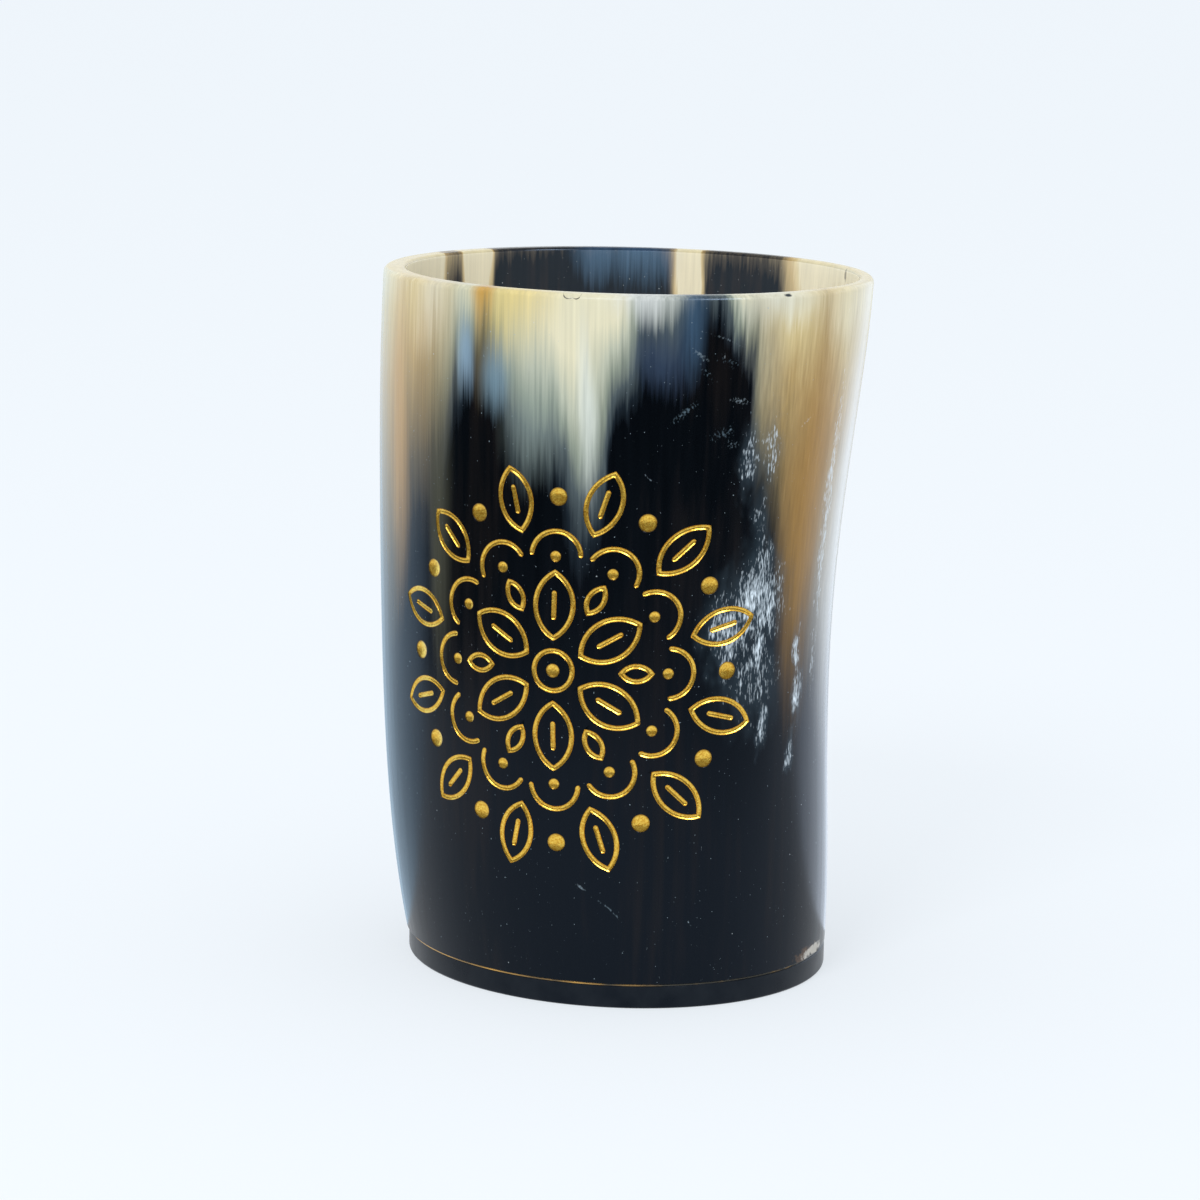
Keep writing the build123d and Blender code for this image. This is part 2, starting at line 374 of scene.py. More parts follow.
def stroke_mesh(name, node_names):
    """Points and edges on the horn, with the attributes that the node tree reads."""
    points, edges, outward, fullness, dot_radius = [], [], [], [], []

    def mark(place, full, radius):
        points.append(on_horn(*place) * MM)
        outward.append(out_of_horn(*place))
        fullness.append(full)
        dot_radius.append(radius * MM)

    for node in node_names:
        for stroke in lines.get(node, []):
            closed = (stroke[0] - stroke[-1]).length < SAME_POINT
            stroke = stroke[:-1] if closed else stroke
            first = len(points)
            for i, place in enumerate(stroke):
                mark(place, fullness_at(stroke, i, closed), 0.0)
            edges += [(i, i + 1) for i in range(first, len(points) - 1)]
            edges += [(len(points) - 1, first)] if closed else []
        radius, centres = dots.get(node, (0.0, []))
        for centre, in centres:
            mark(centre, 1.0, radius)
    mesh = bpy.data.meshes.new(name)
    mesh.from_pydata(points, edges, [])
    mesh.attributes.new("outward", "FLOAT_VECTOR", "POINT").data.foreach_set(
        "vector", [c for normal in outward for c in normal])
    mesh.attributes.new("fullness", "FLOAT", "POINT").data.foreach_set("value", fullness)
    mesh.attributes.new("dot_radius", "FLOAT", "POINT").data.foreach_set("value", dot_radius)
    return mesh


print("strokes:", sum(len(strokes) for strokes in lines.values()))

# %% [markdown]
# ## One node tree for grooves and gold
# A groove and the gold in it follow the same strokes, so a second Geometry Nodes tree makes both. It
# turns edges into curves, points the curves' normals out of the horn, sweeps a section along them, and
# sets a dish on each dot. Only the section and the dish differ: deep and tall for the cut, and a thin
# hollow filling for the gold. The sections are drawn one unit wide and deep, so that the tree's
# own inputs set the real sizes. Each point also keeps how near the line's edge it is, for the gold.

# %% The tree of engraved lines
engraving = geometry_tree("Engraved lines", (
    ("Strokes", "Geometry"), ("Section", "Object"), ("Dish", "Object"), ("Line half width", "Float"),
    ("Line depth", "Float"), ("Finish", "Material")), "Lines")
given = add(engraving, "NodeGroupInput").outputs
out_way = add(engraving, "GeometryNodeInputNamedAttribute", {"Name": "outward"}, data_type="FLOAT_VECTOR")
full = add(engraving, "GeometryNodeInputNamedAttribute", {"Name": "fullness"}, data_type="FLOAT")
dot_size = add(engraving, "GeometryNodeInputNamedAttribute", {"Name": "dot_radius"}, data_type="FLOAT")
is_dot = add(engraving, "FunctionNodeCompare", {0: dot_size, 1: 0.0}, data_type="FLOAT",
             operation="GREATER_THAN")
parts = add(engraving, "GeometryNodeSeparateGeometry", {"Geometry": given["Strokes"], "Selection": is_dot})
outline = add(engraving, "GeometryNodeObjectInfo", {"Object": given["Section"]}).outputs["Geometry"]
real_size = add(engraving, COMBINE_XYZ, {"X": given["Line depth"], "Y": given["Line half width"], "Z": 1.0})
sized = add(engraving, "GeometryNodeTransform", {"Geometry": outline, "Scale": real_size})
outline_curve = add(engraving, "GeometryNodeMeshToCurve", {"Mesh": sized})
paths = add(engraving, "GeometryNodeMeshToCurve", {"Mesh": parts.outputs["Inverted"]})
faced = add(engraving, "GeometryNodeSetCurveNormal", {"Curve": paths, "Normal": out_way}, mode="FREE")
swept = add(engraving, "GeometryNodeCurveToMesh", {
    "Curve": faced, "Profile Curve": outline_curve, "Scale": full, "Fill Caps": True})
one_dish = add(engraving, "GeometryNodeObjectInfo", {"Object": given["Dish"]}).outputs["Geometry"]
facing = add(engraving, "FunctionNodeAlignRotationToVector", {"Vector": out_way}, axis="Z")
dish_size = add(engraving, COMBINE_XYZ, {"X": dot_size, "Y": dot_size, "Z": given["Line depth"]})
dishes = add(engraving, "GeometryNodeInstanceOnPoints", {
    "Points": parts.outputs["Selection"], "Instance": one_dish, "Rotation": facing, "Scale": dish_size})
joined = add(engraving, "GeometryNodeJoinGeometry", {"Geometry": swept})
engraving.links.new(dishes.outputs[0], joined.inputs["Geometry"])
dress(engraving, joined, given["Finish"], "Lines")

# %% Sections and dishes
# Half outlines from the middle of the top to the middle of the bed: how far out of the horn in line depths,
# and how far across in half widths
GROOVE_HALF = [(1.0, 0.0), (1.0, 1.0), (-0.12, 1.0), (-0.45, 0.88), (-0.78, 0.6), (-0.95, 0.3), (-1.0, 0.0)]
GOLD_HALF = [(-0.64, 0.0), (-0.57, 0.36), (-0.38, 0.7), (-0.12, 0.97), (-0.2, 0.965), (-0.45, 0.86),
             (-0.76, 0.58), (-0.93, 0.29), (-0.98, 0.0)]
STEPS_ROUND_DISH = 36


def section(name, half):
    """Closed outline across a line: X points out of the horn and Y across the line."""
    outline = half + [(out, -across) for out, across in reversed(half[1:-1])]
    mesh = bpy.data.meshes.new(name)
    mesh.from_pydata([(out, across, 0) for out, across in outline],
                     [(i, (i + 1) % len(outline)) for i in range(len(outline))], [])
    edge = mesh.attributes.new("edge", "FLOAT", "POINT")
    edge.data.foreach_set("value", [abs(across) for out, across in outline])
    return bpy.data.objects.new(name, mesh)


def dish(name, half):
    """The same outline turned about its middle: Z points out of the horn."""
    ovals = [Vector((across, across, out)) for out, across in half]
    piece = skin(name, ovals, None, unit=1.0, steps=STEPS_ROUND_DISH, ratio=1.0, turn=0.0)
    edge = piece.data.attributes.new("edge", "FLOAT", "POINT")
    edge.data.foreach_set("value", [point.co.xy.length for point in piece.data.vertices])
    return piece


def engraved(name, node_names, line_section, line_dish, finish):
    """Grooves, or the gold in them, along all the strokes and dots of some nodes."""
    values = {"Section": line_section, "Dish": line_dish, "Line half width": LINE_WIDTH / 2 * MM,
              "Line depth": LINE_DEPTH * MM, "Finish": finish}
    return grow(name, stroke_mesh(name, node_names), engraving, values)


groove_section, groove_dish = section("groove_section", GROOVE_HALF), dish("groove_dish", GROOVE_HALF)
gold_section, gold_dish = section("gold_section", GOLD_HALF), dish("gold_dish", GOLD_HALF)

# %% [markdown]
# ## Polished horn
# Horn is keratin in fine fibres along its length, near black where it is full of pigment and cream
# to tan where it isn't, with streaks between. It is polished with buffs and wax, so it shines softly.
# The colours could be painted on an image, but here they follow rules: a bearing round the cup and a
# height place each tone, and noise that is stretched along the fibres frays every border.

# %% Bearing, height and grain
horn = material("polished_cattle_horn")
# The bore's faint glow isn't worth sampling as a lamp
horn.cycles.emission_sampling = "NONE"
tree = horn.node_tree
# Bearings are taken from the front, round an upright axis this far to the left, where the horn leans
LEAN_LEFT = 1.2
spot = add(tree, "ShaderNodeTexCoord").outputs["Object"]
axes = add(tree, SEPARATE_XYZ, {0: spot})
across = add(tree, MATH, {0: axes.outputs["X"], 1: LEAN_LEFT * MM}, operation="ADD")
front = add(tree, MATH, {0: axes.outputs["Y"], 1: -1.0}, operation="MULTIPLY")
bearing = add(tree, MATH, {0: across, 1: front}, operation="ARCTAN2")
bearing = add(tree, MATH, {0: bearing, 1: 180 / pi}, operation="MULTIPLY")
height = add(tree, MATH, {0: axes.outputs["Z"], 1: 1 / MM}, operation="MULTIPLY")
# Name, width across the fibres and length along them in millimetres, detail
GRAINS = (
    ("clouds", 14, 34, 2.0), ("streaks", 1.4, 42, 3.0), ("fibres", 0.4, 18, 2.0), ("flecks", 0.24, 1.1, 2.0),
    ("mottle", 1.8, 4.0, 2.0), ("crumbs", 0.3, 0.35, 1.0), ("chips", 1.0, 0.8, 2.0))
grain = {}
for name, wide, tall, detail in GRAINS:
    per_metre = 1 / (wide * MM), 1 / (wide * MM), 1 / (tall * MM)
    stretched = add(tree, VECTOR_MATH, {0: spot, 1: per_metre}, operation="MULTIPLY")
    noise = add(tree, "ShaderNodeTexNoise", {"Vector": stretched, "Scale": 1.0, "Detail": detail})
    grain[name] = add(tree, MATH, {0: noise.outputs[0], 1: 0.5}, operation="SUBTRACT")
# How strongly each grain frays a border: in degrees round the cup, and in millimetres up it
FRAY_ROUND = (("streaks", 2.0), ("clouds", 10.0))
FRAY_UP = (("streaks", 4.0), ("clouds", 10.0), ("fibres", 5.0))
frayed, raised = bearing, height
for name, amount in FRAY_ROUND:
    frayed = add(tree, MATH, {0: grain[name], 1: amount, 2: frayed}, operation="MULTIPLY_ADD")
for name, amount in FRAY_UP:
    raised = add(tree, MATH, {0: grain[name], 1: amount, 2: raised}, operation="MULTIPLY_ADD")
print("grains:", list(grain))

# %% Where black gives way to pale horn
# Bearing in degrees from the front, and the heights in millimetres up to which the horn is black and
# from which it is pale
FADES = (
    (-180, 98, 112), (-152, 98, 112), (-147, 96, 110), (-143, 76, 94), (-136, 74, 93), (-133, 96, 107),
    (-128, 96, 107), (-124, 62, 93), (-110, 50, 95), (-92, 36, 100), (-76, 36, 102), (-66, 50, 103),
    (-59, 61, 103), (-54, 62, 106), (-49, 62, 107), (-44, 78, 104), (-40, 82, 103), (-31, 86, 107),
    (-25, 73, 102), (-16, 71, 93), (-9, 60, 91), (-5, 62, 97), (-1, 81, 97), (3, 82, 102), (5.5, 87, 112),
    (8, 88, 116), (12, 87, 114), (18, 96, 112), (24, 95, 107), (27, 92, 101), (30, 90, 101), (33, 72, 103),
    (36, 66, 99), (40, 62, 97), (46, 48, 98), (54, 40, 97), (70, 32, 97), (100, 46, 98), (120, 60, 94),
    (124.5, 74, 100), (128.5, 84, 106), (132.5, 96, 110), (155, 97, 110), (159, 78, 92), (163, 78, 93),
    (165.5, 90, 105), (168.5, 98, 112), (180, 98, 112))
TALLEST = 120.0
round_share = add(tree, MATH, {0: frayed, 1: 1 / 360, 2: 0.5}, operation="MULTIPLY_ADD")
height_share = add(tree, MATH, {0: raised, 1: 1 / TALLEST}, operation="MULTIPLY")
levels = []
for black_or_pale in (1, 2):
    level = add(tree, "ShaderNodeFloatCurve", {"Value": round_share})
    points = level.mapping.curves[0].points
    places = [(fade[0] / 360 + 0.5, fade[black_or_pale] / TALLEST) for fade in FADES]
    points[0].location, points[1].location = places[0], places[-1]
    for place in places[1:-1]:
        points.new(*place)
    level.mapping.update()
    levels.append(level)
paleness = add(tree, MAP_RANGE, {"Value": height_share, "From Min": levels[0], "From Max": levels[1]})
print("fades:", len(FADES))

# %% Warm and cool tones
# From black to pale, beyond the sides and across the front
WARM = ((0.0, "#090d12"), (0.14, "#24221f"), (0.34, "#5b513d"), (0.54, "#8f7a52"), (0.74, "#b59a67"),
        (0.9, "#cab684"), (1.0, "#d8cca6"))
COOL = ((0.0, "#05080c"), (0.14, "#1a2229"), (0.34, "#4b5558"), (0.54, "#858d7f"), (0.74, "#b2b5a2"),
        (0.9, "#c9c6ac"), (1.0, "#d4ceb1"))
# Colour sockets of a Mix node, by index, because their names repeat for every type of data
MIX_A, MIX_B, MIX_RESULT = 6, 7, 2


def set_stops(ramp, stops):
    elements = ramp.color_ramp.elements
    while len(elements) < len(stops):
        elements.new(0.5)
    for element, (position, tone) in zip(elements, stops):
        element.position, element.color = position, linear(tone)


tones = []
for stops in (WARM, COOL):
    ramp = add(tree, "ShaderNodeValToRGB", {"Fac": paleness})
    set_stops(ramp, stops)
    tones.append(ramp)
# In degrees: the middle of the cool front, and how far from it the warm side starts and the cool front ends
COOL_MIDDLE, COOL_FROM, COOL_TO = -7.0, 47.0, 34.0
from_middle = add(tree, MATH, {0: frayed, 1: -COOL_MIDDLE}, operation="ADD")
from_middle = add(tree, MATH, {0: from_middle}, operation="ABSOLUTE")
coolness = add(tree, MAP_RANGE, {"Value": from_middle, "From Min": COOL_FROM, "From Max": COOL_TO})
colour = add(tree, "ShaderNodeMix", {"Factor": coolness, MIX_A: tones[0], MIX_B: tones[1]},
             data_type="RGBA").outputs[MIX_RESULT]
print("tones:", len(WARM) + len(COOL))

# %% Patches of other tones
# What it is, bearing, height, half width in degrees, half height, strength, tone
PATCHES = (
    ("tan streak", -68, 80, 6, 26, 0.5, "#bd9257"),
    ("pale veil", -53, 99, 7, 8, 0.6, "#d6d2bd"),
    ("olive streak", -48, 66, 5, 22, 0.8, "#46463a"),
    ("amber wash", -26, 101, 12, 10, 0.75, "#d6c074"),
    ("amber spot", -33.5, 101.5, 4, 6.5, 0.85, "#bf8f36"),
    ("brown root", -33, 92.5, 3.5, 7, 0.6, "#54482c"),
    ("blue grey streak", -39, 91, 4.2, 6, 0.8, "#86a0b4"),
    ("second blue grey streak", -29, 89.5, 4.5, 6, 0.6, "#7d99a8"),
    ("grey green haze", -20, 83, 8, 10, 0.4, "#8f9d95"),
    ("white streak", -8, 84, 2.8, 14, 0.7, "#cdd3cc"),
    ("navy haze", 10, 92, 9, 6, 0.5, "#3a4a63"),
    # Painted highlight: a pale sheen near the rim at the front, where light reflects
    ("pale bloom", 7, 103, 11, 6, 0.9, "#c9ccca"),
    # Painted highlight: the same pale sheen near the rim, on the right
    ("pale bloom on the right", 37, 101, 11, 6, 0.55, "#d0d4cd"),
    ("blue streak", 17, 97, 3.5, 8, 0.7, "#3d566e"),
    ("ochre side", 51, 74, 9, 32, 0.85, "#9c7430"),
    # Partly pale worn horn, partly a painted reflection of the bright surroundings along the right edge
    ("rubbed edge", 70, 70, 13, 34, 0.7, "#cfd0cb"),
    # Painted reflection: a blue sheen along the rim at the back, inside and out
    ("blue rim", 174, 100, 11, 6, 0.45, "#3a5c80"),
    ("blue rim, beyond the back", -176, 100, 8, 6, 0.4, "#3a5c80"),
)
# Where a patch ends and where it is full, in shares of its half width
PATCH_END, PATCH_FULL = 1.25, 0.1


def patch(aside, aloft, at, up, wide, tall, strength):
    """Soft oval mask round a bearing and a height."""
    aside = add(tree, MATH, {0: aside, 1: 1 / wide, 2: -at / wide}, operation="MULTIPLY_ADD")
    aloft = add(tree, MATH, {0: aloft, 1: 1 / tall, 2: -up / tall}, operation="MULTIPLY_ADD")
    off = add(tree, COMBINE_XYZ, {"X": aside, "Y": aloft})
    away = add(tree, VECTOR_MATH, {0: off}, operation="LENGTH")
    return add(tree, MAP_RANGE, {"Value": away.outputs["Value"], "From Min": PATCH_END,
                                 "From Max": PATCH_FULL, "To Max": strength},
               interpolation_type="SMOOTHSTEP")


def tinted(colour, mask, tone, label):
    return add(tree, "ShaderNodeMix", {"Factor": mask, MIX_A: colour, MIX_B: linear(tone)},
               data_type="RGBA", label=label).outputs[MIX_RESULT]


# The black isn't even: brown streaks run through it, where streaks and clouds add up
STREAK_SHARE, BROWN_FROM, BROWN_FULL, BROWN_STRENGTH = 0.7, 0.02, 0.25, 0.35
blackness = add(tree, MATH, {0: 1.0, 1: paleness}, operation="SUBTRACT")
brown = add(tree, MATH, {0: grain["streaks"], 1: STREAK_SHARE, 2: grain["clouds"]}, operation="MULTIPLY_ADD")
brown = add(tree, MAP_RANGE, {"Value": brown, "From Min": BROWN_FROM, "From Max": BROWN_FULL,
                              "To Max": BROWN_STRENGTH})
brown = add(tree, MATH, {0: brown, 1: blackness}, operation="MULTIPLY")
colour = tinted(colour, brown, "#1f1813", "brown streaks")
for name, *place, tone in PATCHES:
    colour = tinted(colour, patch(frayed, raised, *place), tone, name)
# Single fibres are a little lighter or darker than their neighbours
FIBRE_SWING, FIBRE_CONTRAST = 0.4, 0.12
fibre_tone = add(tree, MATH, {0: grain["fibres"], 1: grain["streaks"]}, operation="ADD")
fibre_tone = add(tree, MAP_RANGE, {"Value": fibre_tone, "From Min": -FIBRE_SWING, "From Max": FIBRE_SWING,
                                   "To Min": 1 - FIBRE_CONTRAST, "To Max": 1 + FIBRE_CONTRAST})
colour = add(tree, VECTOR_MATH, {0: colour, "Scale": fibre_tone}, operation="SCALE").outputs[0]
print("patches:", len(PATCHES))

# %% Scuffs
# Where the polish is worn off: bearing, height, half width in degrees, half height, strength
SCUFFS = (
    ("worn patch", 36.5, 57.5, 11, 8, 1.05),
    ("its left side", 27.5, 53, 7, 8, 1.0),
    ("its top", 37, 63, 5, 5, 0.8),
    ("its tail", 36, 47, 12, 9, 0.6),
    ("bright streak", 36.5, 49, 2, 7, 1.15),
    ("streak below it", 39, 40, 2.2, 4, 0.95),
    ("streak beside it", 51, 50, 2.2, 5, 1.1),
    ("second streak beside it", 51.5, 43, 2.5, 5, 1.1),
    ("lowest streak", 49.5, 35, 2, 3, 0.8),
    ("upper scuff", 37, 79, 3.5, 6, 0.8),
    ("upper scuff, left", 31.5, 77.5, 3.5, 6, 0.72),
    ("faint scuff between", 35, 68, 3, 7, 0.58),
)
# The ragged line where the rubbed side begins
RUBBED_EDGE = (60, 68, 2.8, 32, 0.95)
# How far mottle shifts a scuff's edge: in degrees round the cup, and in millimetres up it
RAGGED_ROUND, RAGGED_UP = 6.0, 10.0
HAZE_STRENGTH = 0.45
ragged_bearing = add(tree, MATH, {0: grain["mottle"], 1: RAGGED_ROUND, 2: bearing}, operation="MULTIPLY_ADD")
ragged_height = add(tree, MATH, {0: grain["mottle"], 1: RAGGED_UP, 2: height}, operation="MULTIPLY_ADD")
worn = None
for name, *place in SCUFFS:
    mask = patch(ragged_bearing, ragged_height, *place)
    worn = add(tree, MATH, {0: worn, 1: mask}, operation="MAXIMUM") if worn else mask
haze = add(tree, MATH, {0: worn, 1: HAZE_STRENGTH}, operation="MULTIPLY")
colour = tinted(colour, haze, "#4a5c68", "worn haze")
# The rubbed side's edge is worn too, but the horn there is pale and shows no haze
worn = add(tree, MATH, {0: worn, 1: patch(ragged_bearing, ragged_height, *RUBBED_EDGE)}, operation="MAXIMUM")
# Scuffed horn shows white fibre ends in dashes about 0.25 mm wide, few where the wear is slight
DASHES_BY_WEAR, DASHES_BY_MOTTLE, DASHES_FROM, DASHES_FULL = 0.43, 0.35, 0.29, 0.63
dashes = add(tree, MATH, {0: worn, 1: DASHES_BY_WEAR, 2: grain["flecks"]}, operation="MULTIPLY_ADD")
dashes = add(tree, MATH, {0: grain["mottle"], 1: DASHES_BY_MOTTLE, 2: dashes}, operation="MULTIPLY_ADD")
dashes = add(tree, MAP_RANGE, {"Value": dashes, "From Min": DASHES_FROM, "From Max": DASHES_FULL})
colour = tinted(colour, dashes, "#e0edf6", "white fibre ends")
print("scuffs:", len(SCUFFS))

# %% Scratches, cracks and dust
# Bearing, height, half length and half width in millimetres, slant in degrees, how far its ends rise,
# strength, tone
SCRATCHES = (
    ("long smear", 15.2, 84.3, 3.6, 0.7, 38, -0.4, 0.55, "#7e97a6"),
    ("broad smear", 24.2, 81.2, 3.2, 1.2, 18, 0.3, 0.5, "#7e97a6"),
    ("hairline", 23.5, 94.2, 4.4, 0.25, -22, -0.5, 0.5, "#9fb2bd"),
    ("short smear", 18.2, 92.0, 2.1, 0.6, -36, 0.2, 0.6, "#9fb2bd"),
    ("steep smear", 19.2, 90.0, 2.6, 0.7, -63, 0.3, 0.4, "#7e97a6"),
    ("level smear", 27.8, 85.6, 2.2, 0.7, -8, 0.2, 0.6, "#a9bac4"),
    ("faint smear", 25.0, 91.0, 3.2, 1.1, -12, 0.3, 0.35, "#7e97a6"),
    ("small smear", 26.5, 79.6, 1.8, 0.9, -15, 0.0, 0.45, "#8ea4b0"),
    ("hook", 7.5, 75.2, 1.5, 0.16, -40, 0.4, 0.6, "#9fb2bd"),
    ("tan mark", 46.5, 82.0, 2.2, 0.35, 35, 0.0, 0.6, "#dfe3e2"),
    ("mark at the foot", -7.5, 17.5, 1.5, 0.4, -25, 0.1, 0.7, "#9fb2bd"),
    ("its tail", -0.3, 14.7, 3.4, 0.3, -38, -0.5, 0.55, "#8ea4b0"),
    ("short mark", 20.0, 12.5, 1.0, 0.2, -60, 0.0, 0.5, "#9fb2bd"),
)
# The same for marks with whole edges, and for painted shade round the rim flake and in the nick
EDGED_MARKS_AND_PAINTED_SHADE = (
    # Painted shade: dark arcs along the rim flake's edge, where its wall would be in shadow
    ("crack of the rim flake", -12.2, 99.36, 0.85, 0.11, -29, 0.5, 0.95, "#3d3b38"),
    ("its second arc", -9.4, 99.29, 0.67, 0.1, 19, 0.35, 0.95, "#3d3b38"),
    ("dark streak inside the rim", 101.0, 99.0, 1.0, 0.4, 75, 0.0, 0.8, "#4a4036"),
    # Painted shade: a dark spot in the small nick in the rim
    ("nick in the rim", 38.4, 99.72, 0.6, 0.26, 8, 0.0, 1.0, "#34383a"),
    ("brown round the chip", 60.5, 4.3, 3.6, 1.1, 4, 0.0, 0.6, "#6b5138"),
    ("fresh chip", 64.5, 4.2, 3.8, 0.9, 4, 0.0, 0.9, "#c6c1b6"),
)
print("scratches and edged marks:", len(SCRATCHES), len(EDGED_MARKS_AND_PAINTED_SHADE))

# %% Draw them, and add dust
MM_PER_DEGREE = 0.6
# Where a stroke ends, in shares of its half width
STROKE_END = 1.1


def stroke_mask(blur, rough, at, up, half_length, half_width, slant, rise, strength):
    """Mask of one bowed stroke, whose edge is blurred and roughened by shares of its width."""
    aside = add(tree, MATH, {0: bearing, 1: MM_PER_DEGREE, 2: -at * MM_PER_DEGREE}, operation="MULTIPLY_ADD")
    aloft = add(tree, MATH, {0: height, 1: up}, operation="SUBTRACT")
    flat = add(tree, COMBINE_XYZ, {"X": aside, "Y": aloft})
    turned = add(tree, "ShaderNodeVectorRotate", {"Vector": flat, "Angle": -radians(slant)},
                 rotation_type="Z_AXIS")
    share = add(tree, VECTOR_MATH, {0: turned, 1: (1 / half_length, 1 / half_width, 0)}, operation="MULTIPLY")
    share = add(tree, SEPARATE_XYZ, {0: share}).outputs
    bowed = add(tree, MATH, {0: share["X"], 1: share["X"]}, operation="MULTIPLY")
    bowed = add(tree, MATH, {0: bowed, 1: -rise / half_width, 2: share["Y"]}, operation="MULTIPLY_ADD")
    away = add(tree, COMBINE_XYZ, {"X": share["X"], "Y": bowed})
    away = add(tree, VECTOR_MATH, {0: away}, operation="LENGTH").outputs["Value"]
    away = add(tree, MATH, {0: grain["chips"], 1: rough, 2: away}, operation="MULTIPLY_ADD")
    return add(tree, MAP_RANGE, {"Value": away, "From Min": STROKE_END, "From Max": STROKE_END - blur,
                                 "To Max": strength})


# A smear is a host of tiny flecks, so crumbs break it up
SMEAR_SHARE, SMEAR_FROM, SMEAR_FULL, SMEAR_STRENGTH = 0.8, 0.27, 0.8, 0.6
for name, *place, tone in SCRATCHES:
    smear = stroke_mask(STROKE_END, 0.0, *place)
    smear = add(tree, MATH, {0: smear, 1: SMEAR_SHARE, 2: grain["crumbs"]}, operation="MULTIPLY_ADD")
    smear = add(tree, MAP_RANGE, {"Value": smear, "From Min": SMEAR_FROM, "From Max": SMEAR_FULL,
                                  "To Max": SMEAR_STRENGTH})
    colour = tinted(colour, smear, tone, name)
EDGED_MARK_BLUR, EDGED_MARK_ROUGHNESS = 0.6, 2.2
for name, *place, tone in EDGED_MARKS_AND_PAINTED_SHADE:
    colour = tinted(colour, stroke_mask(EDGED_MARK_BLUR, EDGED_MARK_ROUGHNESS, *place), tone, name)
# Grains of dust about 0.2 mm wide cling to the wax, wherever a cell's middle happens to lie on the face
DUST_SPACING, DUST_EDGE, DUST_CORE, DUST_STRENGTH = 4.5, 0.026, 0.014, 0.5
dust = add(tree, "ShaderNodeTexVoronoi", {"Vector": spot, "Scale": 1 / (DUST_SPACING * MM)})
dust = add(tree, MAP_RANGE, {"Value": dust.outputs["Distance"], "From Min": DUST_EDGE, "From Max": DUST_CORE,
                             "To Max": DUST_STRENGTH})
colour = tinted(colour, dust, "#c6d0d6", "dust")
print("with scratches, cracks and dust:", len(tree.nodes), "nodes")

# %% Bore and shine
# The bore is sanded but not polished, so it is duller, and paler: partly its own sanded horn, partly painted
# light for light through the thin wall. There the face looks towards the axis
INSIDE_BLEND, BORE_LIGHTENING_GAMMA = 4.0 * MM, 0.65
normal = add(tree, "ShaderNodeNewGeometry").outputs["Normal"]
facing = add(tree, VECTOR_MATH, {0: normal, 1: spot}, operation="DOT_PRODUCT").outputs["Value"]
inside = add(tree, MAP_RANGE, {"Value": facing, "From Min": INSIDE_BLEND, "From Max": -INSIDE_BLEND})
bore_colour_with_painted_light = add(tree, "ShaderNodeGamma", {"Color": colour, "Gamma": BORE_LIGHTENING_GAMMA})
colour = add(tree, "ShaderNodeMix", {"Factor": inside, MIX_A: colour, MIX_B: bore_colour_with_painted_light},
             data_type="RGBA").outputs[MIX_RESULT]
# The wall is thin, so daylight comes through where it is pale, and the bore glows a little
BORE_GLOW = 0.2
glow = add(tree, MATH, {0: inside, 1: BORE_GLOW}, operation="MULTIPLY")
# Roughness of the polish, how much streaks vary it, and what the bore and worn places add
POLISH, POLISH_SWING, BORE_DULLNESS, WORN_DULLNESS = 0.23, 0.2, 0.12, 0.3
gloss = add(tree, MATH, {0: grain["streaks"], 1: POLISH_SWING, 2: POLISH}, operation="MULTIPLY_ADD")
gloss = add(tree, MATH, {0: inside, 1: BORE_DULLNESS, 2: gloss}, operation="MULTIPLY_ADD")
gloss = add(tree, MATH, {0: dashes, 1: WORN_DULLNESS, 2: gloss}, operation="MULTIPLY_ADD")
# The relief is mostly of streaks, with these shares of fibres and of dashes
FIBRE_RELIEF, DASH_RELIEF, RELIEF_DEPTH = 0.4, 0.5, 0.03
relief = add(tree, MATH, {0: grain["fibres"], 1: FIBRE_RELIEF, 2: grain["streaks"]}, operation="MULTIPLY_ADD")
relief = add(tree, MATH, {0: dashes, 1: DASH_RELIEF, 2: relief}, operation="MULTIPLY_ADD")
bumps = add(tree, "ShaderNodeBump", {"Height": relief, "Strength": 0.25, "Distance": RELIEF_DEPTH * MM})
finish = add(tree, "ShaderNodeBsdfPrincipled", {
    "Base Color": colour, "Roughness": gloss, "Normal": bumps, "Specular IOR Level": 0.2,
    "Specular Tint": linear("#c3dcff"), "Emission Color": colour, "Emission Strength": glow})
add(tree, "ShaderNodeOutputMaterial", {"Surface": finish})
print(horn.name, len(tree.nodes), "nodes")

# %% [markdown]
# ## Dark horn of the base
# The base is sawn from a solid dark tip of horn, across its fibres, so it shows no long streaks: only
# faint clouds a few millimetres wide. It has the same wax polish as the wall.

# %% Dark horn
CLOUD_WIDTH = 5.0
base_horn = material("dark_cattle_horn")
tree = base_horn.node_tree
spot = add(tree, "ShaderNodeTexCoord").outputs["Object"]
noise = add(tree, "ShaderNodeTexNoise", {"Vector": spot, "Scale": 1 / (CLOUD_WIDTH * MM), "Detail": 4.0})
tones = add(tree, "ShaderNodeValToRGB", {"Fac": noise.outputs[0]})
set_stops(tones, ((0.35, "#080b0f"), (0.75, "#1b1e21")))
BASE_POLISH, BASE_POLISH_SWING = 0.18, 0.25
gloss = add(tree, MATH, {0: noise.outputs[0], 1: BASE_POLISH_SWING, 2: BASE_POLISH}, operation="MULTIPLY_ADD")
finish = add(tree, "ShaderNodeBsdfPrincipled", {
    "Base Color": tones, "Roughness": gloss, "Specular IOR Level": 0.2, "Specular Tint": linear("#c3dcff")})
add(tree, "ShaderNodeOutputMaterial", {"Surface": finish})
print(base_horn.name, len(tree.nodes), "nodes")

# %% [markdown]
# ## Glue in the seam
# The base is set in with an amber resin glue that squeezes out a little and is wiped off. It is clear
# brown on the left, where it is thick, and grey with polishing dust on the right, where it is thin.

